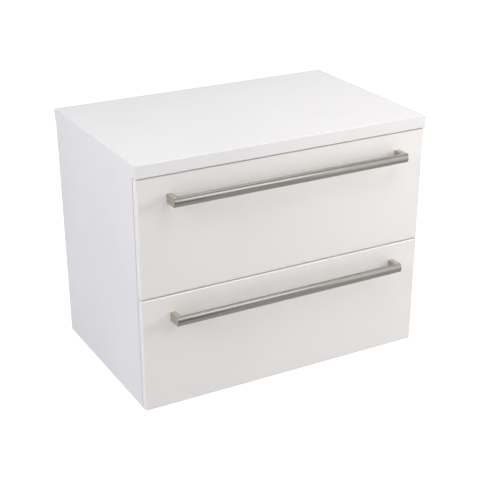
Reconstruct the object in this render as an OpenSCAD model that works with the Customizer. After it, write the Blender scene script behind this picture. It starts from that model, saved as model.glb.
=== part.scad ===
// Wall-hung vanity unit: two wide drawers on ball-bearing runners under a laminate worktop.
// The origin is on the wall plane, midway between the two wall plates, at the middle of their
// screw holes. +X is to the right seen from the front, +Y goes into the wall, +Z is up.

/* [Overall] */
// Width over the side panels
unit_w = 700; // [600:1:900]
// Height from the underside to the top of the worktop
unit_h = 560; // [540:1:640]
// Depth from the wall to the front edge of the worktop
unit_d = 447; // [442:1:520]
// Height of the worktop's top above the wall fixings
top_above_fixings = 100; // [95:1:130]

/* [Worktop] */
// Thickness of the worktop
worktop_t = 28; // [22:1:32]
// How far the worktop stands out past each side panel
worktop_side_overhang = 2; // [0:0.5:10]
// How far the worktop stands out past the drawer fronts
worktop_front_overhang = 2; // [0:1:12]
// Radius of the worktop's eased edges
worktop_edge_r = 1; // [1:0.5:5]

/* [Carcass] */
// Thickness of the side panels, the bottom and the rails
panel_t = 16; // [15:1:19]
// Radius of the edge banding on the side panels
banding_r = 0.5; // [0.4:0.1:1.5]
// Front-to-back width of the rail under the worktop's front edge
front_rail_w = 80; // [74:1:120]
// Height of the two upright rails at the back
back_rail_h = 100; // [96:1:120]
// Gap behind the back rails, where the wall plates lie
back_rail_inset = 20; // [16:1:30]

/* [Drawer fronts] */
// Thickness of the drawer fronts
front_t = 16; // [15:1:22]
// Radius of the wrapped edges of the drawer fronts
front_edge_r = 3; // [1:0.5:4]
// Gap above each drawer front
front_gap = 2; // [2:0.5:5]
// Gap between the drawer fronts and the edges of the carcass
front_standoff = 3; // [1.5:0.5:3]

/* [Handles] */
// Overall length of each handle bar
handle_l = 570; // [300:1:590]
// Height of the handle bar's section
bar_h = 20; // [14:1:26]
// Depth of the handle bar's section
bar_d = 10; // [8:1:16]
// How far the bar's rounded face stands out past its flat edges
bar_crown = 3.5; // [2:0.5:6]
// How far the handle stands out from the drawer front
handle_reach = 37; // [28:1:45]
// Width of the posts that carry the bar
post_w = 12; // [9:1:16]
// Distance from the top of a drawer front down to its handle's middle
handle_drop = 48.5; // [30:0.5:60]

/* [Drawer boxes] */
// Thickness of the drawer box boards
box_t = 12; // [12:1:15]
// Height of the upper drawer's sides
upper_box_h = 150; // [130:1:155]
// Height of the lower drawer's sides
lower_box_h = 170; // [130:1:190]
// Height of a drawer box above the lower edge of its front
box_lift = 26; // [22:1:32]
// Thickness of the drawer bottoms
drawer_bottom_t = 6; // [4:0.5:8]
// Depth of the groove that holds a drawer bottom
groove_d = 6; // [4:0.5:8]
// Height of the groove above the lower edge of the box
groove_lift = 8; // [7:1:12]
// Width of the recess round the waste trap in the upper drawer
recess_w = 220; // [160:1:300]
// Depth of the recess from the back of the upper drawer
recess_d = 190; // [120:1:230]

/* [Runners] */
// Length of the ball-bearing runners
runner_l = 350; // [300:1:360]
// Height of a runner's cabinet member
runner_h = 45; // [42:1:48]
// Thickness of a runner, from the side panel to the drawer side
runner_t = 12.7; // [12.7:0.1:13.5]
// Thickness of the runner's steel strip
strip_t = 1.2; // [1:0.1:1.3]
// Radius of the runner's balls
ball_r = 1.6; // [1.5:0.1:1.8]
// Number of balls in each row
balls_per_row = 6; // [4:1:8]
// Length of the strips that hold the balls
cage_l = 150; // [120:1:160]
// Setback of the runners from the front edges of the carcass
runner_setback = 2; // [1:0.5:5]
// Height of a runner's middle above the lower edge of the drawer box
runner_lift = 60; // [40:1:80]
// Distance of the runners' screws from their ends
runner_screw_inset = 45; // [35:1:60]

/* [Wall hangers] */
// Width of a wall plate
plate_w = 60; // [40:1:90]
// Upright spacing of the two screw holes in a wall plate
plate_hole_spacing = 32; // [28:1:36]
// Radius of the screw holes in the wall plates
plate_hole_r = 3.5; // [3:0.1:4.5]
// Thickness of a wall plate
plate_t = 3; // [2.5:0.5:4]
// Height adjustment of the hangers, up and down
hanger_travel = 8; // [5:1:8]

/* [Hidden] */
$fn = 48;
play = 0.1;          // clearance of a pin, dowel or peg in its hole, on the radius
ball_play = 0.2;     // clearance of a ball in its raceways and in its cage
slide_play = 0.3;    // clearance between sliding faces
groove_play = 0.1;   // clearance of a drawer bottom in its groove, each side
over = 1;            // how far a cutting shape runs past the face that it opens

// Levels and planes of the carcass
worktop_z = top_above_fixings - worktop_t;
underside_z = top_above_fixings - unit_h;
floor_z = underside_z + panel_t;
front_face_y = -unit_d + worktop_front_overhang;
front_back_y = front_face_y + front_t;
carcass_front_y = front_back_y + front_standoff;
inner_x = unit_w / 2 - panel_t;
rail_front_y = -back_rail_inset - panel_t;
rail_mid_y = -back_rail_inset - panel_t / 2;

// Drawer fronts and boxes
front_h = (worktop_z - underside_z - 2 * front_gap) / 2;
lower_front_z = underside_z;
upper_front_z = underside_z + front_h + front_gap;
box_x = inner_x - runner_t;
runner_front_y = carcass_front_y + runner_setback;
runner_rear_y = runner_front_y + runner_l;
box_rear_y = runner_rear_y;
box_edge_r = 2;      // eased top edges of the drawer sides
upper_floor_z = upper_front_z + box_lift + groove_lift + drawer_bottom_t;
upper_top_z = upper_front_z + box_lift + upper_box_h;

// Handles
handle_y = front_face_y - handle_reach;
bar_back_y = handle_y + bar_d;
bar_r = (bar_h * bar_h / 4 + bar_crown * bar_crown) / (2 * bar_crown);
post_x = (handle_l - post_w) / 2;
handle_screw_r = 2;
handle_screw_head_r = 4;
handle_screw_head_t = 2.4;
handle_screw_grip = 9;
peg_r = 3;
peg_l = 5;

// Bumpers
bumper_r = 4;
bumper_inset = 18;

// Countersunk wood screws that hold the runners and the hanger cases to the side panels
small_screw_r = 1.8;
small_head_r = 3.6;
small_screw_l = 13;

// Pan-head screws that hold the drawer members and the decorative fronts to the boxes
pan_screw_r = 1.8;
pan_head_r = 3.4;
pan_head_t = 2;
head_slope = 0.8;
pan_bite = 9;
front_screw_side_inset = 70;
front_screw_edge_inset = 28;
front_screw_x = box_x - front_screw_side_inset;
runner_screw_dy = runner_l / 2 - runner_screw_inset;

// Worktop screws, up through the front rail
worktop_screw_r = 2;
worktop_screw_head_r = 4;
worktop_screw_head_t = 2.4;
worktop_screw_bite = 14;
worktop_screw_side_inset = 110;
worktop_screw_shares = [0.3, 0.7];   // of the front rail's width, to each row of screws
worktop_screw_x = inner_x - worktop_screw_side_inset;

// Cam fittings and dowels that join the carcass boards: [y, z] of each at both ends
cam_r = 7.5;
cam_t = 12;
cam_slot_w = 1.6;
cam_slot_depth = 2;
cam_inset = 24;
bolt_shank_r = 3;
bolt_neck_r = 2;
bolt_collar_l = 3;
bolt_thread_r = 2.5;
bolt_thread_l = 10;
dowel_r = 4;
dowel_l = 30;
dowel_side_l = 10;
fitting_step = 32;         // from a cam to the dowel beside it
front_fitting_inset = 50;  // from the carcass's front edge to the bottom panel's front cams
rear_fitting_inset = 70;   // from the wall to the bottom panel's rear cams
rail_fitting_inset = 24;   // from the front rail's rear edge to its cams
hanging_cam_rise = 16;     // from the hanging rail's lower edge up to its cams
lower_cam_drop = 30;       // from the lower back rail's top edge down to its cams
DOWN = 0;
REAR = 1;
bottom_mid_z = underside_z + panel_t / 2;
front_rail_mid_z = worktop_z - panel_t / 2;
hanging_rail_z = worktop_z - back_rail_h;
lower_rail_top_z = floor_z + back_rail_h;
front_cam_y = carcass_front_y + front_fitting_inset;
rear_cam_y = -rear_fitting_inset;
rail_cam_y = carcass_front_y + front_rail_w - rail_fitting_inset;
hanging_cam_z = hanging_rail_z + hanging_cam_rise;
lower_cam_z = lower_rail_top_z - lower_cam_drop;
cam_spots = [
    [front_cam_y, bottom_mid_z, DOWN],
    [rear_cam_y, bottom_mid_z, DOWN],
    [rail_cam_y, front_rail_mid_z, DOWN],
    [rail_mid_y, hanging_cam_z, REAR],
    [rail_mid_y, lower_cam_z, REAR]
];
dowel_spots = [
    [front_cam_y + fitting_step, bottom_mid_z],
    [rear_cam_y - fitting_step, bottom_mid_z],
    [rail_cam_y - fitting_step, front_rail_mid_z],
    [rail_mid_y, hanging_cam_z + fitting_step],
    [rail_mid_y, lower_cam_z - fitting_step]
];

// Wall plates: the lower part lies on the wall, and the upper part stands off it
plate_side_gap = 4;
plate_margin = 10;     // from the upper screw hole to the plate's step
plate_upstand = 20;    // from the step to the plate's top edge
plate_gap = 6;         // behind the upper part, where the hook goes in
plate_corner_r = 3;
plate_x = inner_x - plate_side_gap - plate_w / 2;
plate_flat_top_z = plate_hole_spacing / 2 + plate_margin;
plate_top_z = plate_flat_top_z + plate_upstand;

// Hanger cases, hooks and height screws
case_w = 20;
case_d = 50;
case_wall = 2.5;
case_rise = 20;        // from the plate's top edge up to the case's top
case_drop = 44;        // from the plate's top edge down to the case's underside
case_screw_inset = 10; // from the case's open side to its screws
case_screw_step = 14;
case_screw_rise = 9;
case_top_z = plate_top_z + case_rise;
case_z = plate_top_z - case_drop;
hook_t = 4;
hook_arm_h = 8;
hook_play = 0.6;       // clearance of the hook's finger behind the plate, each side
hook_finger_l = 14;
hook_x = inner_x - case_w / 2;
nut_l = 16;
nut_h = 16;
nut_front_gap = 3;
nut_y = rail_front_y - case_d + case_wall + nut_front_gap + nut_l / 2;
height_screw_r = 3;
height_screw_head_r = 5;
height_screw_head_t = 4;
height_screw_collar_t = 1.5;
height_screw_end_gap = 0.5;
notch_play = 4;
notch_z = plate_top_z - hanger_travel - notch_play;

// Runner section: levels of the ball rows above the runner's middle, and the flanges between them
race_dip = 0.4;      // depth of a raceway groove in a flange
race_r = ball_r + ball_play;
race_gap = 2 * (race_r - race_dip);
outer_flange_v = runner_h / 2 - strip_t;
outer_ball_v = outer_flange_v - race_gap / 2;
middle_flange_v = outer_flange_v - race_gap;
inner_ball_v = middle_flange_v - strip_t - race_gap / 2;
inner_flange_v = middle_flange_v - strip_t - race_gap;
outer_flange_w = 8.4;
middle_web_u = strip_t + 0.8;
middle_flange_w = 10.6;
inner_flange_u = 5.2;
outer_ball_u = 4.6;
inner_ball_u = 7;
outer_cage_u = strip_t + 0.2;                 // a cage's web clears the member behind it
inner_cage_u = middle_web_u + strip_t + 0.3;
lip_l = 1.5;
cage_strip = 0.8;    // thickness of the cage strips that the balls sit in
cage_web = 0.4;      // thickness of the outer cage's web, in the narrow gap behind the channel
cage_rim = 0.3;      // width left between a ball hole and the cage's edge
cage_end = 10;       // from a cage's end to its first ball
ball_pitch = (cage_l - 2 * cage_end) / (balls_per_row - 1);
stop_gap = 2;        // setback of the middle and drawer members from the cabinet member's ends
stop_half_v = 7;     // half the height of the tab that stops them
slot_half_w = 2.2;   // slots and holes punched in the webs
slot_half_l = 5;
slot_inset = 22;
runner_mid_y = runner_front_y + runner_l / 2;
upper_runner_z = upper_front_z + box_lift + runner_lift;
lower_runner_z = lower_front_z + box_lift + runner_lift;

LEFT = -1;
RIGHT = 1;

// Pieces are drawn for the right-hand side and mirrored for the left
module on_side(side) {
    mirror([side < 0 ? 1 : 0, 0, 0]) children();
}

module both_sides() {
    on_side(RIGHT) children();
    on_side(LEFT) children();
}

// A flat outline in depth and height, given a thickness along X
module along_x(from, to) {
    translate([from, 0, 0]) rotate([90, 0, 90]) linear_extrude(to - from) children();
}

// A flat outline in width and height, given a length along Y
module along_y(from, to) {
    translate([0, to, 0]) rotate([90, 0, 0]) linear_extrude(to - from) children();
}

module box_between(low, high) {
    translate(low) cube(high - low);
}

module rounded_rect(size, r) {
    translate([r, 0]) square([size[0] - 2 * r, size[1]]);
    translate([0, r]) square([size[0], size[1] - 2 * r]);
    for (x = [r, size[0] - r], y = [r, size[1] - r]) translate([x, y]) circle(r);
}

// An oblong whose two corners at y = 0 are rounded
module round_fronted(w, t, r) {
    translate([0, r]) square([w, t - r]);
    translate([r, 0]) square([w - 2 * r, 2 * r]);
    for (x = [r, w - r]) translate([x, r]) circle(r);
}

// A board with every edge eased: a rounded outline along each axis, and what they share
module eased_board(low, high, r) {
    size = high - low;
    translate(low) intersection() {
        linear_extrude(size[2]) rounded_rect([size[0], size[1]], r);
        along_y(0, size[1]) rounded_rect([size[0], size[2]], r);
        along_x(0, size[0]) rounded_rect([size[1], size[2]], r);
    }
}

// A countersunk screw that goes in along +X, its head flush with the plane x = 0
module countersunk_screw(play = 0) {
    rotate([0, 90, 0]) {
        cylinder(r1 = small_head_r + play, r2 = small_screw_r + play, h = strip_t);
        cylinder(r = small_screw_r + play, h = small_screw_l);
    }
}

// A pan-head screw that goes in along +Z through a board of the given thickness, head below z = 0
module pan_screw(r, grip, head_r, head_t) {
    cylinder(r = r, h = grip);
    translate([0, 0, -head_t]) difference() {
        cylinder(r1 = head_r - head_slope, r2 = head_r, h = head_t);
        cross_slot(head_r / 2, head_r / 4, head_t / 2);
    }
}

// Two crossed slots, sunk from z = 0 to the given depth
module cross_slot(half_l, w, depth) {
    for (a = [0, 90]) rotate(a) translate([-half_l, -w / 2, -over])
        cube([2 * half_l, w, depth + over]);
}

// Drillings for the cam fittings and dowels in the carcass boards
module fitting_holes() {
    both_sides() {
        for (c = cam_spots) translate([inner_x, c[0], c[1]]) {
            rotate([0, 90, 0]) cylinder(r = bolt_thread_r + play, h = bolt_thread_l + play);
            rotate([0, -90, 0]) cylinder(r = bolt_shank_r + 2 * play, h = cam_inset);
            translate([-cam_inset, 0, 0]) cam_turn(c[2])
                translate([0, 0, -panel_t / 2 - over]) cylinder(r = cam_r + play, h = cam_t + over + play);
        }
        for (d = dowel_spots) translate([inner_x, d[0], d[1]]) rotate([0, -90, 0])
            translate([0, 0, -dowel_side_l - play])
                cylinder(r = dowel_r + play, h = dowel_l + 2 * play);
    }
}

// Turns a cam's bore from the underside of its board to the rear face
module cam_turn(way) {
    rotate([way == REAR ? 90 : 0, 0, 0]) children();
}

module cam_discs() {
    color("silver") both_sides() for (c = cam_spots) translate([inner_x - cam_inset, c[0], c[1]])
        cam_turn(c[2]) difference() {
            translate([0, 0, -panel_t / 2]) cylinder(r = cam_r, h = cam_t);
            rotate([0, 90, 0]) cylinder(r = bolt_shank_r + 3 * play, h = cam_r + over);
            translate([0, 0, -panel_t / 2]) cross_slot(cam_r / 2, cam_slot_w, cam_slot_depth);
        }
}

module cam_bolts() {
    color("gainsboro") both_sides() for (c = cam_spots)
        translate([inner_x, c[0], c[1]]) rotate([0, 90, 0]) {
            cylinder(r = bolt_thread_r, h = bolt_thread_l);
            translate([0, 0, -cam_inset + play]) cylinder(r = bolt_neck_r, h = cam_inset - play);
            for (z = [-cam_inset + play, -bolt_collar_l]) translate([0, 0, z])
                cylinder(r = bolt_shank_r, h = bolt_collar_l);
        }
}

module carcass_dowels() {
    color("burlywood") both_sides() for (d = dowel_spots)
        translate([inner_x + dowel_side_l, d[0], d[1]]) rotate([0, -90, 0])
            cylinder(r = dowel_r, h = dowel_l);
}

module side_panel(side) {
    color("whitesmoke") on_side(side) difference() {
        translate([inner_x, carcass_front_y, underside_z])
            linear_extrude(worktop_z - underside_z)
                rounded_rect([panel_t, -carcass_front_y], banding_r);
        fitting_holes();
        for (z = [upper_runner_z, lower_runner_z], y = [-1, 1])
            runner_screw_place(z, y) countersunk_screw(play);
        hanger_screw_places() countersunk_screw(play);
    }
}

module bottom_panel() {
    color("whitesmoke") difference() {
        box_between([-inner_x, carcass_front_y, underside_z], [inner_x, 0, floor_z]);
        fitting_holes();
    }
}

module front_rail() {
    color("whitesmoke") difference() {
        box_between([-inner_x, carcass_front_y, worktop_z - panel_t],
            [inner_x, carcass_front_y + front_rail_w, worktop_z]);
        fitting_holes();
        worktop_screw_places()
            cylinder(r = worktop_screw_r + play, h = panel_t + over);
    }
}

// The upper back rail is notched at both ends for the hooks to reach the wall plates
module hanging_rail() {
    color("whitesmoke") difference() {
        box_between([-inner_x, rail_front_y, hanging_rail_z],
            [inner_x, -back_rail_inset, worktop_z]);
        both_sides() box_between([inner_x - case_w, rail_front_y - over, notch_z],
            [inner_x + over, -back_rail_inset + over, worktop_z + over]);
        fitting_holes();
    }
}

module lower_back_rail() {
    color("whitesmoke") difference() {
        box_between([-inner_x, rail_front_y, floor_z],
            [inner_x, -back_rail_inset, lower_rail_top_z]);
        fitting_holes();
    }
}

module worktop() {
    color("white") difference() {
        eased_board([-unit_w / 2 - worktop_side_overhang, -unit_d, worktop_z],
            [unit_w / 2 + worktop_side_overhang, 0, top_above_fixings], worktop_edge_r);
        worktop_screw_places()
            cylinder(r = worktop_screw_r + play, h = panel_t + worktop_screw_bite + play);
    }
}

module worktop_screw_places() {
    both_sides() for (y = worktop_screw_shares)
        translate([worktop_screw_x, carcass_front_y + y * front_rail_w, worktop_z - panel_t])
            children();
}

// Soft pads on the front edges of the side panels, which the closed drawer fronts rest against
module bumpers() {
    color("gainsboro") both_sides() for (z = [lower_front_z, upper_front_z], end = [0, 1])
        translate([inner_x + panel_t / 2, carcass_front_y,
            z + bumper_inset + end * (front_h - 2 * bumper_inset)])
            rotate([90, 0, 0]) cylinder(r = bumper_r, h = front_standoff);
}

// A hanger case is a steel box on the side panel, open to the wall, that holds the hook's nut
module hanger_case(side) {
    color("gainsboro") on_side(side) difference() {
        box_between([inner_x - case_w, rail_front_y - case_d, case_z],
            [inner_x, rail_front_y, case_top_z]);
        box_between(
            [inner_x - case_w + case_wall, rail_front_y - case_d + case_wall, case_z + case_wall],
            [inner_x - case_wall, rail_front_y + over, case_top_z - case_wall]);
        height_screw_place() translate([0, 0, -over])
            cylinder(r = height_screw_r + play, h = case_wall + 2 * over);
        hanger_screw_places() countersunk_screw(play);
    }
}

module height_screw_place() {
    translate([hook_x, nut_y, case_z]) children();
}

module hanger_screw_places() {
    for (z = [0, case_screw_step]) translate([inner_x - case_wall,
        rail_front_y - case_screw_inset, case_z + case_screw_rise + z]) children();
}

// The height screw turns in the case's floor, held between its head and its collar
module height_screw(side) {
    color("silver") on_side(side) height_screw_place() difference() {
        union() {
            cylinder(r = height_screw_r,
                h = case_top_z - case_z - case_wall - height_screw_end_gap);
            translate([0, 0, -height_screw_head_t])
                cylinder(r = height_screw_head_r, h = height_screw_head_t);
            translate([0, 0, case_wall + play])
                cylinder(r = height_screw_head_r, h = height_screw_collar_t);
        }
        translate([0, 0, -height_screw_head_t])
            cross_slot(height_screw_head_r / 2, height_screw_head_r / 4, height_screw_head_t / 2);
    }
}

// A hook hangs on the top edge of its wall plate, and its nut rides on the height screw
module hook(side) {
    color("lightsteelblue") on_side(side) difference() {
        union() {
            along_x(hook_x - hook_t / 2, hook_x + hook_t / 2) {
                translate([nut_y, plate_top_z])
                    square([hook_play - plate_gap - nut_y, hook_arm_h]);
                translate([hook_play - plate_gap, plate_top_z - hook_finger_l])
                    hook_finger(plate_gap - 2 * hook_play, hook_finger_l + hook_arm_h);
            }
            box_between([inner_x - case_w + case_wall + slide_play, nut_y - nut_l / 2,
                plate_top_z + hook_arm_h - nut_h], [inner_x - case_wall - slide_play,
                nut_y + nut_l / 2, plate_top_z + hook_arm_h]);
        }
        translate([hook_x, nut_y, case_z])
            cylinder(r = height_screw_r + play, h = case_top_z - case_z);
    }
}

// The hook's finger, with its lower end rounded to find its way behind the plate
module hook_finger(w, l) {
    translate([0, w / 2]) square([w, l - w / 2]);
    translate([w / 2, w / 2]) circle(w / 2);
}

// A wall plate is screwed flat to the wall; its stepped-out top edge catches the hook
module wall_plate(side) {
    color("silver") on_side(side) difference() {
        intersection() {
            along_x(plate_x - plate_w / 2, plate_x + plate_w / 2) polygon([
                [0, -plate_flat_top_z],
                [0, plate_flat_top_z],
                [-plate_gap, plate_flat_top_z + plate_gap],
                [-plate_gap, plate_top_z],
                [-plate_gap - plate_t, plate_top_z],
                [-plate_gap - plate_t, plate_flat_top_z + plate_gap - plate_t / 2],
                [-plate_t, plate_flat_top_z - plate_t / 2],
                [-plate_t, -plate_flat_top_z]
            ]);
            translate([plate_x - plate_w / 2, 0, -plate_flat_top_z])
                along_y(-plate_gap - plate_t - over, over)
                    rounded_rect([plate_w, plate_flat_top_z + plate_top_z], plate_corner_r);
        }
        for (z = [-1, 1]) translate([plate_x, over, z * plate_hole_spacing / 2])
            rotate([90, 0, 0]) cylinder(r = plate_hole_r, h = plate_t + 2 * over);
    }
}

// Places a runner's section on the right-hand side panel: u runs from the panel to the drawer
module runner_place(z) {
    translate([inner_x, runner_rear_y, z]) mirror([1, 0, 0]) children();
}

module runner_profile(length) {
    rotate([90, 0, 0]) linear_extrude(length) children();
}

// A steel strip folded to a channel: web at web_u, flanges to tip_u, lips turned in at the tips
module channel(web_u, tip_u, half_v, lip) {
    difference() {
        translate([web_u, -half_v]) square([tip_u - web_u, 2 * half_v]);
        translate([web_u + strip_t, strip_t - half_v])
            square([tip_u - web_u - (lip > 0 ? 2 * strip_t : 0), 2 * (half_v - strip_t)]);
        translate([tip_u - strip_t - over, strip_t + lip - half_v])
            square([strip_t + 2 * over, 2 * (half_v - strip_t - lip)]);
    }
}

// Raceway grooves above and below the runner's middle
module raceways(ball_u, ball_v) {
    for (v = [-ball_v, ball_v]) translate([ball_u, v]) circle(race_r);
}

module runner_screw_place(z, end) {
    translate([inner_x - strip_t, runner_mid_y + end * runner_screw_dy, z]) children();
}

// The cabinet member: a channel whose flanges carry the outer raceways. Its rear end has a tab
// that stops the other members.
module cabinet_rail(side, z) {
    color("lightgray") on_side(side) difference() {
        runner_place(z) {
            runner_profile(runner_l) difference() {
                channel(0, outer_flange_w, runner_h / 2, lip_l);
                raceways(outer_ball_u, outer_ball_v);
            }
            runner_profile(strip_t) translate([0, -stop_half_v])
                square([inner_flange_u, 2 * stop_half_v]);
        }
        for (end = [-1, 1]) {
            runner_screw_place(z, end) countersunk_screw(play);
            runner_slot_place(z, end) web_slot();
        }
    }
}

// The middle member: a channel with raceways on both faces of its flanges
module middle_rail(side, z) {
    color("silver") on_side(side) runner_place(z) stopped_length() difference() {
        channel(middle_web_u, middle_flange_w, middle_flange_v, lip_l);
        raceways(outer_ball_u, outer_ball_v);
        raceways(inner_ball_u, inner_ball_v);
    }
}

// The drawer member: a channel that faces the other way, screwed to the drawer side
module drawer_rail(side, z) {
    color("lightgray") on_side(side) difference() {
        runner_place(z) stopped_length() difference() {
            translate([runner_t, 0]) mirror([1, 0])
                channel(0, runner_t - inner_flange_u, inner_flange_v, 0);
            raceways(inner_ball_u, inner_ball_v);
        }
        for (end = [-1, 1]) {
            drawer_screw_place(z, end) translate([0, 0, -over])
                cylinder(r = pan_screw_r + play, h = strip_t + 2 * over);
            translate([-runner_t + strip_t, 0, 0]) runner_slot_place(z, end) web_slot();
        }
    }
}

// Length of the members that stop short of the cabinet member's ends
module stopped_length() {
    translate([0, -stop_gap, 0]) runner_profile(runner_l - 2 * stop_gap) children();
}

// A slot through a web, upright, with round ends
module web_slot() {
    along_x(-over, strip_t + over) {
        translate([-slot_half_w, -slot_half_l]) square([2 * slot_half_w, 2 * slot_half_l]);
        for (v = [-slot_half_l, slot_half_l]) translate([0, v]) circle(slot_half_w);
    }
}

module runner_slot_place(z, end) {
    translate([inner_x - strip_t, runner_mid_y + end * (runner_screw_dy - slot_inset), z])
        children();
}

// Screws from the drawer member into the drawer side, pointing to the unit's middle
module drawer_screw_place(z, end) {
    translate([box_x + strip_t, runner_mid_y + end * runner_screw_dy, z])
        rotate([0, -90, 0]) children();
}

// A ball cage: a strip folded round two rows of balls, which roll in it
module ball_cage(side, z, web_u, ball_u, ball_v, web_t) {
    reach = ball_u + race_r + cage_rim;
    color("dimgray") on_side(side) runner_place(z) difference() {
        translate([0, -(runner_l - cage_l) / 2, 0]) runner_profile(cage_l) {
            translate([web_u, -ball_v - cage_strip / 2])
                square([web_t, 2 * ball_v + cage_strip]);
            for (v = [-ball_v, ball_v]) translate([web_u, v - cage_strip / 2])
                square([reach - web_u, cage_strip]);
        }
        ball_places(ball_u, ball_v) cylinder(r = race_r, h = 4 * ball_r, center = true);
    }
    color("silver") on_side(side) runner_place(z) ball_places(ball_u, ball_v) sphere(ball_r);
}

module ball_places(ball_u, ball_v) {
    for (v = [-1, 1], i = [0 : balls_per_row - 1])
        translate([ball_u, -runner_l / 2 + (i - (balls_per_row - 1) / 2) * ball_pitch, v * ball_v])
            children();
}

module outer_cage(side, z) {
    ball_cage(side, z, outer_cage_u, outer_ball_u, outer_ball_v, cage_web);
}

module inner_cage(side, z) {
    ball_cage(side, z, inner_cage_u, inner_ball_u, inner_ball_v, cage_strip);
}

module carcass_screws() {
    color("silver") {
        both_sides() {
            for (z = [upper_runner_z, lower_runner_z], end = [-1, 1])
                runner_screw_place(z, end) countersunk_screw();
            hanger_screw_places() countersunk_screw();
        }
        worktop_screw_places() pan_screw(worktop_screw_r,
            panel_t + worktop_screw_bite, worktop_screw_head_r, worktop_screw_head_t);
    }
}

// Middle of a handle, from the top edge of its drawer front
function handle_z(front_z) = front_z + front_h - handle_drop;

module handle_screw_places(front_z) {
    for (x = [-post_x, post_x]) translate([x, front_back_y, handle_z(front_z)])
        rotate([90, 0, 0]) children();
}

module front_screw_places(front_z, box_h) {
    for (x = [-front_screw_x, 0, front_screw_x],
            z = [front_screw_edge_inset, box_h - front_screw_edge_inset])
        translate([x, front_back_y + box_t, front_z + box_lift + z]) rotate([90, 0, 0]) children();
}

// A drawer front: foil-wrapped board with rounded front edges and square back edges
module drawer_front(front_z, box_h) {
    color("white") difference() {
        translate([-unit_w / 2, front_face_y, front_z]) intersection() {
            linear_extrude(front_h) round_fronted(unit_w, front_t, front_edge_r);
            along_x(0, unit_w) mirror([1, -1]) round_fronted(front_h, front_t, front_edge_r);
        }
        handle_screw_places(front_z) translate([0, 0, -over])
            cylinder(r = handle_screw_r + play, h = front_t + 2 * over);
        front_screw_places(front_z, box_h)
            cylinder(r = pan_screw_r + play, h = box_t + pan_bite + play);
    }
}

// A handle bar: flat at the back, top and bottom, and rounded in front
module handle_bar(front_z) {
    color("darkgray") translate([0, handle_y, handle_z(front_z)]) difference() {
        along_x(-handle_l / 2, handle_l / 2) intersection() {
            translate([0, -bar_h / 2]) square([bar_d, bar_h]);
            translate([bar_r, 0]) circle(bar_r, $fn = 96);
        }
        for (x = [-post_x, post_x]) translate([x, bar_d + over, 0]) rotate([90, 0, 0])
            cylinder(r = peg_r + play, h = peg_l + over + play);
    }
}

// Two square posts carry the bar, each with a peg in the bar's back and a tapped hole
module handle_posts(front_z) {
    color("darkgray") for (x = [-post_x, post_x]) difference() {
        union() {
            box_between([x - post_w / 2, bar_back_y, handle_z(front_z) - bar_h / 2],
                [x + post_w / 2, front_face_y, handle_z(front_z) + bar_h / 2]);
            translate([x, bar_back_y, handle_z(front_z)]) rotate([90, 0, 0])
                cylinder(r = peg_r, h = peg_l);
        }
        translate([x, front_face_y + over, handle_z(front_z)]) rotate([90, 0, 0])
            cylinder(r = handle_screw_r + play, h = handle_screw_grip + over + play);
    }
}

// Drawer side: a board with an eased top edge and a groove for the bottom
module drawer_side(side, front_z, box_h) {
    box_z = front_z + box_lift;
    color("whitesmoke") on_side(side) difference() {
        along_y(front_back_y, box_rear_y) difference() {
            translate([box_x - box_t, box_z + box_h]) mirror([0, 1])
                round_fronted(box_t, box_h, box_edge_r);
            translate([box_x - box_t - over, box_z + groove_lift - groove_play])
                square([groove_d + over + groove_play, drawer_bottom_t + 2 * groove_play]);
        }
        for (end = [-1, 1]) drawer_screw_place(box_z + runner_lift, end)
            cylinder(r = pan_screw_r + play, h = strip_t + pan_bite + play);
    }
}

module drawer_inner_front(front_z, box_h) {
    box_z = front_z + box_lift;
    color("whitesmoke") difference() {
        box_between([-box_x + box_t, front_back_y, box_z],
            [box_x - box_t, front_back_y + box_t, box_z + box_h]);
        box_between([-box_x, front_back_y + box_t - groove_d - groove_play,
            box_z + groove_lift - groove_play], [box_x, front_back_y + box_t + over,
            box_z + groove_lift + drawer_bottom_t + groove_play]);
        front_screw_places(front_z, box_h) translate([0, 0, -over])
            cylinder(r = pan_screw_r + play, h = box_t + 2 * over);
    }
}

// The back stands on the bottom; the upper one is in two lengths, either side of the recess
module drawer_back(front_z, box_h, half_gap) {
    box_z = front_z + box_lift;
    low = box_z + groove_lift + drawer_bottom_t;
    color("whitesmoke") difference() {
        box_between([-box_x + box_t, box_rear_y - box_t, low],
            [box_x - box_t, box_rear_y, box_z + box_h]);
        if (half_gap > 0) box_between([-half_gap, box_rear_y - box_t - over, low - over],
            [half_gap, box_rear_y + over, box_z + box_h + over]);
    }
}

module drawer_bottom(front_z, half_gap) {
    low = front_z + box_lift + groove_lift;
    x = box_x - box_t + groove_d;
    color("white") difference() {
        box_between([-x, front_back_y + box_t - groove_d, low],
            [x, box_rear_y, low + drawer_bottom_t]);
        if (half_gap > 0) box_between([-half_gap, box_rear_y - recess_d, low - over],
            [half_gap, box_rear_y + over, low + drawer_bottom_t + over]);
    }
}

// Three boards stand on the upper drawer's bottom round the recess for the waste trap
module upper_recess_sides() {
    color("whitesmoke") both_sides() box_between(
        [recess_w / 2, box_rear_y - recess_d, upper_floor_z],
        [recess_w / 2 + box_t, box_rear_y, upper_top_z]);
}

module upper_recess_front() {
    color("whitesmoke") box_between(
        [-recess_w / 2 - box_t, box_rear_y - recess_d - box_t, upper_floor_z],
        [recess_w / 2 + box_t, box_rear_y - recess_d, upper_top_z]);
}

// Screws of a drawer: through the front into the handle posts, and from the box into the front
// and the runners' drawer members
module drawer_screws(front_z, box_h) {
    color("silver") {
        handle_screw_places(front_z) pan_screw(handle_screw_r,
            front_t + handle_screw_grip, handle_screw_head_r, handle_screw_head_t);
        front_screw_places(front_z, box_h)
            pan_screw(pan_screw_r, box_t + pan_bite, pan_head_r, pan_head_t);
        both_sides() for (end = [-1, 1])
            drawer_screw_place(front_z + box_lift + runner_lift, end)
                pan_screw(pan_screw_r, strip_t + pan_bite, pan_head_r, pan_head_t);
    }
}

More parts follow.
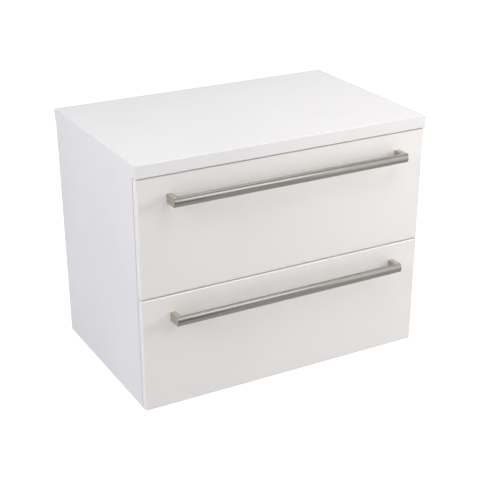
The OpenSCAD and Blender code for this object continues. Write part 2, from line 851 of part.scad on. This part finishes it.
side_panel(LEFT);  // left_side_panel
side_panel(RIGHT);  // right_side_panel
bottom_panel();
front_rail();
hanging_rail();
lower_back_rail();
worktop();
carcass_dowels();
cam_discs();
cam_bolts();
hanger_case(LEFT);  // left_hanger_case
hanger_case(RIGHT);  // right_hanger_case
carcass_screws();
bumpers();
hook(LEFT);  // left_hook
hook(RIGHT);  // right_hook
wall_plate(LEFT);  // left_wall_plate
wall_plate(RIGHT);  // right_wall_plate
height_screw(LEFT);  // left_height_screw
height_screw(RIGHT);  // right_height_screw

cabinet_rail(LEFT, upper_runner_z);  // upper_left_cabinet_rail
cabinet_rail(RIGHT, upper_runner_z);  // upper_right_cabinet_rail
cabinet_rail(LEFT, lower_runner_z);  // lower_left_cabinet_rail
cabinet_rail(RIGHT, lower_runner_z);  // lower_right_cabinet_rail
middle_rail(LEFT, upper_runner_z);  // upper_left_middle_rail
middle_rail(RIGHT, upper_runner_z);  // upper_right_middle_rail
middle_rail(LEFT, lower_runner_z);  // lower_left_middle_rail
middle_rail(RIGHT, lower_runner_z);  // lower_right_middle_rail
drawer_rail(LEFT, upper_runner_z);  // upper_left_drawer_rail
drawer_rail(RIGHT, upper_runner_z);  // upper_right_drawer_rail
drawer_rail(LEFT, lower_runner_z);  // lower_left_drawer_rail
drawer_rail(RIGHT, lower_runner_z);  // lower_right_drawer_rail
outer_cage(LEFT, upper_runner_z);  // upper_left_outer_cage
outer_cage(RIGHT, upper_runner_z);  // upper_right_outer_cage
outer_cage(LEFT, lower_runner_z);  // lower_left_outer_cage
outer_cage(RIGHT, lower_runner_z);  // lower_right_outer_cage
inner_cage(LEFT, upper_runner_z);  // upper_left_inner_cage
inner_cage(RIGHT, upper_runner_z);  // upper_right_inner_cage
inner_cage(LEFT, lower_runner_z);  // lower_left_inner_cage
inner_cage(RIGHT, lower_runner_z);  // lower_right_inner_cage

drawer_front(upper_front_z, upper_box_h);  // upper_front
handle_bar(upper_front_z);  // upper_handle_bar
handle_posts(upper_front_z);  // upper_handle_posts
drawer_screws(upper_front_z, upper_box_h);  // upper_drawer_screws
drawer_side(LEFT, upper_front_z, upper_box_h);  // upper_left_side
drawer_side(RIGHT, upper_front_z, upper_box_h);  // upper_right_side
drawer_inner_front(upper_front_z, upper_box_h);  // upper_inner_front
drawer_back(upper_front_z, upper_box_h, recess_w / 2 + box_t);  // upper_back
drawer_bottom(upper_front_z, recess_w / 2);  // upper_bottom
upper_recess_front();
upper_recess_sides();
drawer_front(lower_front_z, lower_box_h);  // lower_front
handle_bar(lower_front_z);  // lower_handle_bar
handle_posts(lower_front_z);  // lower_handle_posts
drawer_screws(lower_front_z, lower_box_h);  // lower_drawer_screws
drawer_side(LEFT, lower_front_z, lower_box_h);  // lower_left_side
drawer_side(RIGHT, lower_front_z, lower_box_h);  // lower_right_side
drawer_inner_front(lower_front_z, lower_box_h);  // lower_inner_front
drawer_back(lower_front_z, lower_box_h, 0);  // lower_back
drawer_bottom(lower_front_z, 0);  // lower_bottom
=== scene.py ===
"""Wall-hung vanity unit in white: two wide drawers with metal bar handles, under a flat top."""

import math

import bmesh
import bpy
from mathutils import Matrix, Vector


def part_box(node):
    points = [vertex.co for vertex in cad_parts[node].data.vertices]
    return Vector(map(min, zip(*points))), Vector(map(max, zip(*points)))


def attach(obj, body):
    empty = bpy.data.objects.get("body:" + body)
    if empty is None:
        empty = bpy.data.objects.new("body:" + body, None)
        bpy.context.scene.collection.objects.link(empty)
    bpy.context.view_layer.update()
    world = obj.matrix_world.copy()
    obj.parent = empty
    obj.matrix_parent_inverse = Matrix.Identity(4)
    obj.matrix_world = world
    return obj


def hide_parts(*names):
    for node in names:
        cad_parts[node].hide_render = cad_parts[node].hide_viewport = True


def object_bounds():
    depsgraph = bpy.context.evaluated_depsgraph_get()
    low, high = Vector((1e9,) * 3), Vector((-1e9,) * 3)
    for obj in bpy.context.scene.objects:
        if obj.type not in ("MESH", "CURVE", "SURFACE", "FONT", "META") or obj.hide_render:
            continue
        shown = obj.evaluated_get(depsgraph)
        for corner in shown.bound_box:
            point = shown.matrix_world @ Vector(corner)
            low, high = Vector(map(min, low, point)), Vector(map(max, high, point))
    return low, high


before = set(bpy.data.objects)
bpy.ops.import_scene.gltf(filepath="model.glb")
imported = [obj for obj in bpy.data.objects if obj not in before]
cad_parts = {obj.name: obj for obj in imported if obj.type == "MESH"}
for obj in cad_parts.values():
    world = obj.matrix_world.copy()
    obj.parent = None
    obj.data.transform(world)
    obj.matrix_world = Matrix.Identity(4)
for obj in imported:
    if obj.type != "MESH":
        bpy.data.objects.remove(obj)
cad_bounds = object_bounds()

# Carcass boards: two side panels, a bottom, a rail under the worktop's front edge and two rails at
# the back. They are particle board faced and edged with white melamine, which has a fine pearled
# surface; only the edges that go against the wall are left raw.
MELAMINE_WHITE = (0.80, 0.80, 0.805)
MELAMINE_SHADE = (0.775, 0.775, 0.782)
MELAMINE_ROUGH = 0.45
PEARL_PER_METRE = 1400
PEARL_DEPTH = 0.00004
PEARL_SPREAD = 0.05
CLOUDS_PER_METRE = 5
CHIP_PALE = (0.56, 0.44, 0.29)
CHIP_DARK = (0.36, 0.25, 0.14)
CHIPS_PER_METRE = 350
SKIN = 0.0003


def new_material(name):
    """A material with one Principled shader, its node tree and the shader."""
    material = bpy.data.materials.new(name)
    material.use_nodes = True
    tree = material.node_tree
    return material, tree, tree.nodes["Principled BSDF"]


def add_node(tree, kind, **settings):
    """A node with its properties and inputs set; a value that is a socket is linked.

    An underscore in an input's name stands for a space, and i0, i1 and so on are inputs by number.
    """
    node = tree.nodes.new("ShaderNode" + kind)
    for name, value in settings.items():
        spaced = name.replace("_", " ")
        if spaced not in node.inputs and hasattr(node, name):
            setattr(node, name, value)
            continue
        socket = node.inputs[spaced if spaced in node.inputs else int(name[1:])]
        if isinstance(value, bpy.types.NodeSocket):
            tree.links.new(value, socket)
        else:
            socket.default_value = value
    return node


def object_place(tree):
    """Where a point of the surface is, in the object's own coordinates."""
    return add_node(tree, "TexCoord").outputs["Object"]


def object_noise(tree, per_metre, stretch=(1, 1, 1), detail=2):
    """Noise with so many features per metre; a stretch below 1 draws them out along that axis."""
    stretched = add_node(tree, "Mapping", Vector=object_place(tree), Scale=stretch).outputs[0]
    return add_node(tree, "TexNoise", Vector=stretched, Scale=per_metre, Detail=detail).outputs[0]


def between(tree, factor, low, high, start=0, end=1):
    """A number that goes from low to high as the factor goes from start to end."""
    return add_node(tree, "MapRange", Value=factor, From_Min=start, From_Max=end,
                    To_Min=low, To_Max=high).outputs[0]


def mixed(tree, factor, low, high):
    """A colour that goes from low to high with the factor; either may be a colour or a socket."""
    ends = [c if isinstance(c, bpy.types.NodeSocket) else (*c, 1) for c in (low, high)]
    return add_node(tree, "Mix", data_type="RGBA", i0=factor, i6=ends[0], i7=ends[1]).outputs[2]


def two_tone(tree, noise, low, high):
    """The middle of a noise spread over two colours."""
    return mixed(tree, between(tree, noise, 0, 1, start=0.35, end=0.65), low, high)


def give_relief(tree, shader, height, depth, strength):
    """Raises and sinks the surface with a height, to a depth in metres."""
    bump = add_node(tree, "Bump", Height=height, Distance=depth, Strength=strength)
    tree.links.new(bump.outputs[0], shader.inputs["Normal"])


def past(tree, axis, limit, side):
    """1 where the object's coordinate on an axis is above a limit, or below it for side -1."""
    along = add_node(tree, "SeparateXYZ", Vector=object_place(tree)).outputs[axis]
    compare = "GREATER_THAN" if side > 0 else "LESS_THAN"
    return add_node(tree, "Math", operation=compare, i0=along, i1=limit).outputs[0]


def chipboard(tree):
    """The colour of raw particle board: pale and dark chips."""
    chips = add_node(tree, "TexVoronoi", Vector=object_place(tree), Scale=CHIPS_PER_METRE)
    chance = add_node(tree, "SeparateColor", Color=chips.outputs["Color"]).outputs[0]
    return mixed(tree, chance, CHIP_DARK, CHIP_PALE)


def smooth_material(name, colour, shade, roughness, per_metre=PEARL_PER_METRE, depth=PEARL_DEPTH,
                    raw=None):
    """A barely clouded colour with a fine pearled relief.

    raw is an axis, a limit, a side and a colour, for where the board shows past its skin.
    """
    material, tree, shader = new_material(name)
    pearl = object_noise(tree, per_metre)
    colour = two_tone(tree, object_noise(tree, CLOUDS_PER_METRE, detail=3), shade, colour)
    if raw:
        axis, limit, side, raw_colour = raw
        colour = mixed(tree, past(tree, axis, limit, side), colour, raw_colour(tree))
    tree.links.new(colour, shader.inputs["Base Color"])
    tree.links.new(between(tree, pearl, roughness - PEARL_SPREAD, roughness + PEARL_SPREAD),
                   shader.inputs["Roughness"])
    give_relief(tree, shader, pearl, depth, strength=0.5)
    return material


def finish_nodes(material, *names):
    """Gives CAD nodes a material in place of the plain one they were packed with."""
    for name in names:
        for material_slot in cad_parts[name].material_slots:
            material_slot.material = material


melamine = smooth_material("melamine", MELAMINE_WHITE, MELAMINE_SHADE, MELAMINE_ROUGH,
                           raw=("Y", -SKIN, 1, chipboard))
finish_nodes(melamine, "left_side_panel", "right_side_panel", "bottom_panel",
             "front_rail", "hanging_rail", "lower_back_rail")

# Joints of the carcass: die-cast zinc cams grip dark oiled steel bolts in the side panels, and
# fluted beech dowels beside them keep the boards in line. The cams' slotted faces lie flush with
# the boards.
DIE_CAST = (0.50, 0.50, 0.51)
DIE_CAST_SHADE = (0.40, 0.40, 0.41)
METAL_SPREAD = 0.06
GREASED = (0.34, 0.33, 0.31)
GREASED_SHADE = (0.24, 0.23, 0.21)
BEECH = (0.55, 0.37, 0.20)
BEECH_GRAIN = (0.44, 0.28, 0.14)
BEECH_PER_METRE = 900
BEECH_DEPTH = 0.0001
BEECH_ROUGH = (0.55, 0.7)
ALONG_DOWEL = (0.06, 1, 1)


def metal_material(name, metal, shade, roughness, per_metre, stretch=(1, 1, 1), depth=0.00003):
    """A metal with streaks or specks in its colour, roughness and relief."""
    material, tree, shader = new_material(name)
    streaks = object_noise(tree, per_metre, stretch, detail=3)
    tree.links.new(two_tone(tree, streaks, shade, metal), shader.inputs["Base Color"])
    tree.links.new(between(tree, streaks, roughness - METAL_SPREAD, roughness + METAL_SPREAD),
                   shader.inputs["Roughness"])
    give_relief(tree, shader, streaks, depth, strength=0.4)
    shader.inputs["Metallic"].default_value = 1
    return material


die_cast = metal_material("die_cast_zinc", DIE_CAST, DIE_CAST_SHADE, roughness=0.48, per_metre=700)
finish_nodes(die_cast, "cam_discs")

greased = metal_material("greased_thread", GREASED, GREASED_SHADE, roughness=0.3, per_metre=900,
                         stretch=(1, 1, 3), depth=0.0001)
finish_nodes(greased, "cam_bolts")

beech, tree, shader = new_material("beech")
grain = object_noise(tree, BEECH_PER_METRE, ALONG_DOWEL, detail=4)
tree.links.new(two_tone(tree, grain, BEECH_GRAIN, BEECH), shader.inputs["Base Color"])
tree.links.new(between(tree, grain, *BEECH_ROUGH), shader.inputs["Roughness"])
give_relief(tree, shader, grain, BEECH_DEPTH, strength=0.5)
finish_nodes(beech, "carcass_dowels")

# Worktop: particle board wrapped in white laminate with a silky matt face, and a grey balancing
# paper underneath. Zinc-plated screws go up into it through the front rail.
LAMINATE_WHITE = (0.80, 0.80, 0.80)
LAMINATE_SHADE = (0.78, 0.78, 0.785)
LAMINATE_ROUGH = 0.45
LAMINATE_PER_METRE = 1000
PAPER_PALE = (0.60, 0.59, 0.57)
PAPER_DARK = (0.52, 0.51, 0.49)
PAPER_FIBRES_PER_METRE = 260
ZINC = (0.62, 0.63, 0.65)
ZINC_SHADE = (0.50, 0.51, 0.535)


def balancing_paper(tree):
    """The colour of the grey paper on the underside, with its pressed fibres."""
    fibres = object_noise(tree, PAPER_FIBRES_PER_METRE, detail=4)
    return two_tone(tree, fibres, PAPER_DARK, PAPER_PALE)


laminate = smooth_material("worktop_laminate", LAMINATE_WHITE, LAMINATE_SHADE, LAMINATE_ROUGH,
                           per_metre=LAMINATE_PER_METRE,
                           raw=("Z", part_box("worktop")[0].z + SKIN, -1, balancing_paper))
finish_nodes(laminate, "worktop")

screw_zinc = metal_material("screw_zinc", ZINC, ZINC_SHADE, roughness=0.28, per_metre=1500)
finish_nodes(screw_zinc, "carcass_screws")

# Wall hangers: a plate on the wall, and in each top corner a pressed case with a hook that a
# screw lifts and lowers. All are zinc-plated steel; the thread carries a trace of grease.
PLATE_ROUGH = 0.33
UPRIGHT = (1, 1, 0.06)

zinc_upright = metal_material("zinc_plate_upright", ZINC, ZINC_SHADE, PLATE_ROUGH, per_metre=420,
                              stretch=UPRIGHT)
for hand in ("left", "right"):
    finish_nodes(zinc_upright, hand + "_wall_plate", hand + "_hanger_case", hand + "_hook")
    finish_nodes(greased, hand + "_height_screw")

# Runners: three rolled steel members and two cages of balls on each side of each drawer. The
# members are bright zinc, drawn along their length, and the cages are plain oiled steel.
CAGE_STEEL = (0.44, 0.44, 0.46)
CAGE_SHADE = (0.33, 0.33, 0.35)
ALONG_RUNNER = (1, 0.02, 1)
LEVELS = ("upper", "lower")
CORNERS = [level + "_" + hand for level in LEVELS for hand in ("left", "right")]

rolled_zinc = metal_material("rolled_zinc", ZINC, ZINC_SHADE, PLATE_ROUGH, per_metre=500,
                             stretch=ALONG_RUNNER)
oiled_steel = metal_material("oiled_cage_steel", CAGE_STEEL, CAGE_SHADE, roughness=0.28,
                             per_metre=600)
for corner in CORNERS:
    finish_nodes(rolled_zinc, corner + "_cabinet_rail", corner + "_middle_rail",
                 corner + "_drawer_rail")
    finish_nodes(oiled_steel, corner + "_outer_cage", corner + "_inner_cage")

# Release levers: a black moulded lever lies in the channel of each drawer member, held by its foot.
# A press on the ribbed thumb pad bends the thin arm off its stop, and the drawer lifts out.
LEVER_BLACK = (0.022, 0.022, 0.024)
LEVER_SHEEN = (0.035, 0.035, 0.037)
LEVER_ROUGH = 0.42
LEVER_PER_METRE = 2200
LEVER_DEPTH = 0.00003
LEVER_EDGE = 0.0002
LEVER_BEHIND_END = 0.0945
ARM_LENGTH = 0.050
ARM_HEIGHT = 0.0045
ARM_THICKNESS = 0.002
MEMBER_WALL = 0.0012
# Each step is a length, and the height and the thickness at its end.
FOOT_STEPS = ((0.001, 0.0075, 0.003), (0.0045, 0.0075, 0.003))
RIB_STEPS = ((0.0007, 0.009, 0.0048), (0.0009, 0.009, 0.0036))
PAD_STEPS = ((0.0012, 0.009, 0.0036), *RIB_STEPS * 4, (0.0008, 0.007, 0.002))
END_FACING = 0.9
FRONT_FACING = -0.55


def box_mesh(low, high):
    """A cube stretched between two corners."""
    bm = bmesh.new()
    bmesh.ops.create_cube(bm, size=1)
    place = Matrix.Translation((low + high) / 2) @ Matrix.Diagonal((*(high - low), 1))
    bmesh.ops.transform(bm, matrix=place, verts=bm.verts)
    return bm


def points_of(geometry):
    """The points among what a bmesh operator made."""
    return [made for made in geometry if isinstance(made, bmesh.types.BMVert)]


def new_object(bm, name, *materials):
    """An object in the scene with a finished mesh and its materials in order."""
    mesh = bpy.data.meshes.new(name)
    bm.to_mesh(mesh)
    bm.free()
    for material in materials:
        mesh.materials.append(material)
    made = bpy.data.objects.new(name, mesh)
    bpy.context.scene.collection.objects.link(made)
    return made


def finish_mesh(bm, name, material, body, slot, *replaced, edge, segments=3, side=None, end=None):
    """Makes the piece, rounds its sharp edges and says what it rides on and stands for.

    side is a material for what faces up, down or back, and end one for the left and right ends.
    """
    smooth_below = math.radians(32)
    bmesh.ops.remove_doubles(bm, verts=bm.verts, dist=1e-6)
    bmesh.ops.recalc_face_normals(bm, faces=bm.faces)
    for face in bm.faces:
        if end and abs(face.normal.x) > END_FACING:
            face.material_index = 2
        elif side and face.normal.y > FRONT_FACING:
            face.material_index = 1
    piece = new_object(bm, name, *[finish for finish in (material, side, end) if finish])
    piece.data.shade_smooth()
    piece.data.set_sharp_from_angle(angle=smooth_below)
    rounding = piece.modifiers.new("rounded_edges", "BEVEL")
    rounding.width = edge
    rounding.segments = segments
    rounding.limit_method = "ANGLE"
    rounding.angle_limit = smooth_below
    rounding.harden_normals = True
    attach(piece, body)
    if replaced:
        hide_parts(*replaced)


def stepped(bm, face, web, steps):
    """Extrudes an end of the arm in steps, its back kept on the channel's web.

    Each step leaves the face that it started from inside the lever.
    """
    height, thickness = ARM_HEIGHT, ARM_THICKNESS
    for length, new_height, new_thickness in steps:
        outward = face.normal.copy()
        new = bmesh.ops.extrude_face_region(bm, geom=[face])["geom"]
        face = [made for made in new if isinstance(made, bmesh.types.BMFace)][0]
        bmesh.ops.translate(bm, verts=points_of(new), vec=outward * length)
        bmesh.ops.scale(bm, verts=points_of(new), space=Matrix.Translation(-web),
                        vec=(new_thickness / thickness, 1, new_height / height))
        bm.normal_update()
        height, thickness = new_height, new_thickness


lever_plastic = smooth_material("lever_plastic", LEVER_SHEEN, LEVER_BLACK, LEVER_ROUGH,
                                per_metre=LEVER_PER_METRE, depth=LEVER_DEPTH)
for corner in CORNERS:
    level, hand = corner.split("_")
    member_low, member_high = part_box(corner + "_drawer_rail")
    outward = -1 if hand == "left" else 1
    inner = member_high.x if hand == "left" else member_low.x
    web = Vector((inner + outward * MEMBER_WALL, member_low.y + LEVER_BEHIND_END,
                  (member_low.z + member_high.z) / 2))
    across = sorted((web.x, web.x + outward * ARM_THICKNESS))
    lever = box_mesh(Vector((across[0], web.y, web.z - ARM_HEIGHT / 2)),
                     Vector((across[1], web.y + ARM_LENGTH, web.z + ARM_HEIGHT / 2)))
    lever.normal_update()
    arm_ends = [face for face in lever.faces if abs(face.normal.y) > END_FACING]
    front_end, back_end = sorted(arm_ends, key=lambda face: face.normal.y)
    stepped(lever, front_end, web, PAD_STEPS)
    stepped(lever, back_end, web, FOOT_STEPS)
    finish_mesh(lever, corner + "_release_lever", lever_plastic, level + "_drawer",
                "bumper_rubber", edge=LEVER_EDGE, segments=2)

# Drawer boxes: melamine boards screwed and glued, with a thin fibreboard bottom in a groove. The
# upper one has three boards round a recess that keeps clear of the basin's waste trap.
BOX_ROUGH = 0.5
FIBRE_PALE = (0.34, 0.22, 0.13)
FIBRE_DARK = (0.24, 0.15, 0.085)
FIBRES_PER_METRE = 800


def hardboard(tree):
    """The colour of a fibreboard's raw brown underside."""
    return two_tone(tree, object_noise(tree, FIBRES_PER_METRE, detail=4), FIBRE_DARK, FIBRE_PALE)


box_board = smooth_material("drawer_board", MELAMINE_WHITE, MELAMINE_SHADE, BOX_ROUGH)
for level in LEVELS:
    finish_nodes(box_board, level + "_left_side", level + "_right_side", level + "_inner_front",
                 level + "_back")
    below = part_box(level + "_bottom")[0].z + SKIN
    bottom_board = smooth_material(level + "_bottom_board", MELAMINE_WHITE, MELAMINE_SHADE,
                                   BOX_ROUGH, raw=("Z", below, -1, hardboard))
    finish_nodes(bottom_board, level + "_bottom")
    finish_nodes(screw_zinc, level + "_drawer_screws")
finish_nodes(box_board, "upper_recess_front", "upper_recess_sides")

# Drawer fronts: fibreboard wrapped in a smooth satin foil, with rounded edges, screwed on from
# inside the boxes. Closed, they rest on soft clear pads stuck to the side panels' edges.
FOIL_WHITE = (0.82, 0.81, 0.80)
FOIL_SHADE = (0.805, 0.795, 0.785)
FOIL_ROUGH = 0.3
FOIL_PER_METRE = 600
FOIL_DEPTH = 0.00002
PAD_CLEAR = (0.88, 0.89, 0.90)
PAD_HAZE = (0.80, 0.81, 0.82)
PAD_ROUGH = (0.18, 0.34)
PAD_CLEARNESS = 0.7
HAZE_PER_METRE = 1200
HAZE_DEPTH = 0.00005

foil = smooth_material("front_foil", FOIL_WHITE, FOIL_SHADE, FOIL_ROUGH,
                       per_metre=FOIL_PER_METRE, depth=FOIL_DEPTH)
finish_nodes(foil, "upper_front", "lower_front")

pad, tree, shader = new_material("clear_pad")
haze = object_noise(tree, HAZE_PER_METRE)
tree.links.new(two_tone(tree, haze, PAD_HAZE, PAD_CLEAR), shader.inputs["Base Color"])
tree.links.new(between(tree, haze, *PAD_ROUGH), shader.inputs["Roughness"])
give_relief(tree, shader, haze, HAZE_DEPTH, strength=0.4)
shader.inputs["Transmission Weight"].default_value = PAD_CLEARNESS
finish_nodes(pad, "bumpers")

# Handles: a bar whose rounded face is brushed along its length, on two square cast posts. The
# posts and the bar's ends and flat sides have a warmer satin finish; the flat sides are also
# lighter than the brushed face, partly painted light for the light that the bar's top catches. A
# screw from inside holds each post.
BRUSHED = (0.265, 0.26, 0.244)
BRUSHED_SHADE = (0.217, 0.212, 0.198)
BRUSHED_ROUGH = 0.17
SATIN = (0.55, 0.51, 0.455)
SATIN_SHADE = (0.49, 0.45, 0.40)
SATIN_ROUGH = 0.4
# The flat sides' colour: a satin finish, made lighter than the brushed face as painted light for
# the lit top.
BAR_SIDE_LIGHTENED = (0.36, 0.332, 0.294)
BAR_SIDE_SHADE = (0.315, 0.286, 0.252)
BAR_SIDE_ROUGH = 0.34
FINE_BRUSHING = (0.01, 1, 1)
LIGHT_BRUSHING = (0.05, 1, 1)
BAR_CROWN = 0.0035
BAR_EDGE = 0.0005
CROWN_STEPS = 24
POST_WIDTH = 0.012
POST_EDGE = 0.0008


def extruded(bm, vertex, offset):
    """Extrudes one vertex by an offset and returns the new one."""
    new = bmesh.ops.extrude_vert_indiv(bm, verts=[vertex])["verts"][0]
    new.co = vertex.co + Vector(offset)
    return new


def bar_mesh(low, high):
    """The bar: an arc spun for its face, a flat back, and the outline extruded from end to end."""
    bm = bmesh.new()
    half = (high.z - low.z) / 2
    radius = (half ** 2 + BAR_CROWN ** 2) / (2 * BAR_CROWN)
    centre = Vector((low.x, low.y + radius, (low.z + high.z) / 2))
    angle = 2 * math.asin(half / radius)
    first = bm.verts.new((low.x, low.y + BAR_CROWN, low.z))
    arc = bmesh.ops.spin(bm, geom=[first], cent=centre, axis=(1, 0, 0), angle=-angle,
                         steps=CROWN_STEPS, use_merge=False, use_duplicate=False)
    last = points_of(arc["geom_last"])[0]
    back_top = extruded(bm, last, (0, high.y - low.y - BAR_CROWN, 0))
    back_bottom = extruded(bm, back_top, (0, 0, low.z - high.z))
    bm.edges.new((back_bottom, first))
    outline = bmesh.ops.contextual_create(bm, geom=bm.edges)["faces"]
    far = bmesh.ops.extrude_face_region(bm, geom=outline)["geom"]
    bmesh.ops.translate(bm, verts=points_of(far), vec=(high.x - low.x, 0, 0))
    return bm


brushed = metal_material("brushed_bar", BRUSHED, BRUSHED_SHADE, BRUSHED_ROUGH, per_metre=2500,
                         stretch=FINE_BRUSHING)
# Lighter than the brushed face in part as painted light, standing in for the light on the bar's top
# side.
lightened_bar_side = metal_material("satin_bar_sides_partly_painted_light", BAR_SIDE_LIGHTENED, BAR_SIDE_SHADE, BAR_SIDE_ROUGH,
                          per_metre=1800, stretch=LIGHT_BRUSHING)
satin = metal_material("satin_casting", SATIN, SATIN_SHADE, SATIN_ROUGH, per_metre=1800)
for level in LEVELS:
    bar_low, bar_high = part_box(level + "_handle_bar")
    finish_mesh(bar_mesh(bar_low, bar_high), level + "_bar", brushed, level + "_drawer",
                "handle_metal", level + "_handle_bar", edge=BAR_EDGE, side=lightened_bar_side, end=satin)
    post_low, post_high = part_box(level + "_handle_posts")
    posts = box_mesh(Vector((post_low.x, bar_high.y, post_low.z)),
                     Vector((post_low.x + POST_WIDTH, post_high.y, post_high.z)))
    left_post = posts.verts[:] + posts.edges[:] + posts.faces[:]
    right_post = bmesh.ops.duplicate(posts, geom=left_post)["geom"]
    bmesh.ops.translate(posts, verts=points_of(right_post),
                        vec=(post_high.x - post_low.x - POST_WIDTH, 0, 0))
    finish_mesh(posts, level + "_posts", satin, level + "_drawer",
                "handle_metal", level + "_handle_posts", edge=POST_EDGE)

# Studio floor and room: a pale floor well below the hung unit, which keeps its shadow and fades to
# white far off, and a plain white room. Metal and clear plastic mirror both as white.
FLOOR_DROP = 0.29
FLOOR_SIZE = 30
FLOOR_COLOUR = (0.67, 0.67, 0.67, 1)
FLOOR_ROUGH = 0.9
FADE_START = 1.5
FADE_END = 3.0
LIFT_BELOW_UNIT = 0.8
LIFT_FAR_OFF = 1.0
ROOM_LIGHT = 0.15
WHITE = (1, 1, 1, 1)


def either(tree, *signals):
    """1 where any of the signals is 1."""
    total = signals[0]
    for signal in signals[1:]:
        total = add_node(tree, "Math", operation="MAXIMUM", i0=total, i1=signal).outputs[0]
    return total


pale_floor, tree, shader = new_material("pale_floor")
shader.inputs["Base Color"].default_value = FLOOR_COLOUR
shader.inputs["Roughness"].default_value = FLOOR_ROUGH
rays = add_node(tree, "LightPath").outputs
distance = add_node(tree, "VectorMath", operation="LENGTH", i0=object_place(tree)).outputs["Value"]
lift = between(tree, distance, LIFT_BELOW_UNIT, LIFT_FAR_OFF, start=FADE_START, end=FADE_END)
lift = add_node(tree, "Math", operation="MULTIPLY", i0=rays["Is Camera Ray"], i1=lift).outputs[0]
lifted = add_node(tree, "Emission", Color=WHITE, Strength=lift).outputs[0]
seen = add_node(tree, "AddShader", i0=shader.outputs[0], i1=lifted).outputs[0]
white = add_node(tree, "Emission", Color=WHITE, Strength=1.0).outputs[0]
mirrored = either(tree, rays["Is Glossy Ray"], rays["Is Transmission Ray"])
floor_mix = add_node(tree, "MixShader", i0=mirrored, i1=seen, i2=white).outputs[0]
tree.links.new(floor_mix, tree.nodes["Material Output"].inputs["Surface"])

bm = bmesh.new()
bmesh.ops.create_grid(bm, x_segments=1, y_segments=1, size=FLOOR_SIZE / 2)
bmesh.ops.translate(bm, verts=bm.verts, vec=(0, 0, cad_bounds[0][2] - FLOOR_DROP))
floor = new_object(bm, "floor", pale_floor)

world = bpy.data.worlds.new("white_room")
bpy.context.scene.world = world
world.use_nodes = True
tree = world.node_tree
rays = add_node(tree, "LightPath").outputs
shown = either(tree, rays["Is Camera Ray"], rays["Is Glossy Ray"], rays["Is Transmission Ray"])
background = tree.nodes["Background"]
background.inputs["Color"].default_value = WHITE
tree.links.new(between(tree, shown, ROOM_LIGHT, 1.0), background.inputs["Strength"])

# Grey card: a sheet below the front lamps that glows a plain even grey, though it is no lamp. Only
# the metal mirrors it, and its glow paints a dark reflection: the line under the highlight of each
# bar.
CARD_LOW = Vector((-0.35, -1.41, -0.82))
CARD_HIGH = Vector((0.27, -1.40, -0.27))
CARD_GLOW_GREY = (0.45, 0.45, 0.45, 1)
BLACK = (0, 0, 0, 1)

glowing_card_material, tree, shader = new_material("glowing_card_material")
shader.inputs["Base Color"].default_value = BLACK
# The card's tone comes from its own glow, not from light on it: a painted dark reflection in the
# bars.
shader.inputs["Emission Color"].default_value = CARD_GLOW_GREY
shader.inputs["Emission Strength"].default_value = 1
card = new_object(box_mesh(CARD_LOW, CARD_HIGH), "glowing_grey_card", glowing_card_material)
card.visible_camera = card.visible_diffuse = False
card.visible_shadow = card.visible_transmission = False

# Lamps: softboxes round the unit. The strip and the panel stand close in front, where the bars
# mirror them as their highlight; the others light the boards, and one the open back.
FRONTS = (0, -0.4, -0.1)
TOP = (0, -0.3, 0.1)
LEFT_SIDE = (-0.35, -0.2, -0.1)
BACK = (0, 0, -0.15)
STRIP_PLACE = (0.37, -1.41, 0.21)
PANEL_PLACE = (0.91, -1.41, -0.02)


def straight_back(place):
    """A point behind a place, for a lamp that faces the wall squarely."""
    x, y, z = place
    return x, y + 1, z


def soft_lamp(name, place, target, size, watts, colour):
    """A softbox of a width and height in metres that faces a target."""
    light = bpy.data.lights.new(name, "AREA")
    light.shape = "RECTANGLE"
    light.size, light.size_y = size
    light.energy = watts
    light.color = colour
    lamp = bpy.data.objects.new(name, light)
    lamp.location = place
    lamp.rotation_euler = (Vector(target) - Vector(place)).to_track_quat("-Z", "Y").to_euler()
    lamp.visible_camera = False
    bpy.context.scene.collection.objects.link(lamp)


soft_lamp("key", (2.6, -1.7, 0.8), FRONTS, (1.0, 1.0), 33.0, (1.0, 0.94, 0.916))
soft_lamp("front_left", (-0.8, -2.6, 0.2), FRONTS, (1.2, 1.2), 7.2, (1.0, 0.976, 0.955))
soft_lamp("front_strip", STRIP_PLACE, straight_back(STRIP_PLACE), (0.5, 0.4), 1.44,
          (0.98, 1.0, 1.0))
soft_lamp("front_panel", PANEL_PLACE, straight_back(PANEL_PLACE), (0.58, 0.95), 1.58,
          (1.0, 0.985, 0.95))
soft_lamp("top_front", (0.4, -1.1, 1.8), TOP, (1.2, 1.2), 16.3, (1.0, 0.965, 0.943))
soft_lamp("top_right", (1.3, -0.4, 1.8), TOP, (1.2, 1.2), 12.3, (1.0, 0.995, 0.992))
soft_lamp("left_high", (-2.4, -0.8, 1.3), LEFT_SIDE, (1.4, 1.4), 49.0, (0.954, 0.942, 1.0))
soft_lamp("back_fill", (0.3, 2.4, -0.15), BACK, (1.6, 0.4), 12.0, (1.0, 1.0, 1.0))

# Camera: it looks down on the left front corner from above, through a long lens, with the shift
# that the unit's place in the square picture needs.
FOCAL_PX = 1145.2
AXIS_PX = (256.2, 307.4)
IMAGE_PX = 480
SENSOR_MM = 36
CAMERA_PLACE = (-1.1815, -2.4108, 0.8501)
CAMERA_FORWARD = (0.43818, 0.78043, -0.44601)
CAMERA_ROLL = math.radians(0.15)

camera_data = bpy.data.cameras.new("camera")
camera_data.sensor_width = SENSOR_MM
camera_data.lens = SENSOR_MM * FOCAL_PX / IMAGE_PX
camera_data.shift_x = (IMAGE_PX / 2 - AXIS_PX[0]) / IMAGE_PX
camera_data.shift_y = (AXIS_PX[1] - IMAGE_PX / 2) / IMAGE_PX
camera = bpy.data.objects.new("camera", camera_data)
aim = Vector(CAMERA_FORWARD).to_track_quat("-Z", "Y").to_matrix().to_4x4()
camera.matrix_world = Matrix.Translation(CAMERA_PLACE) @ aim @ Matrix.Rotation(CAMERA_ROLL, 4, "Z")
bpy.context.scene.collection.objects.link(camera)
bpy.context.scene.camera = camera

bpy.context.scene.view_settings.view_transform = "Standard"
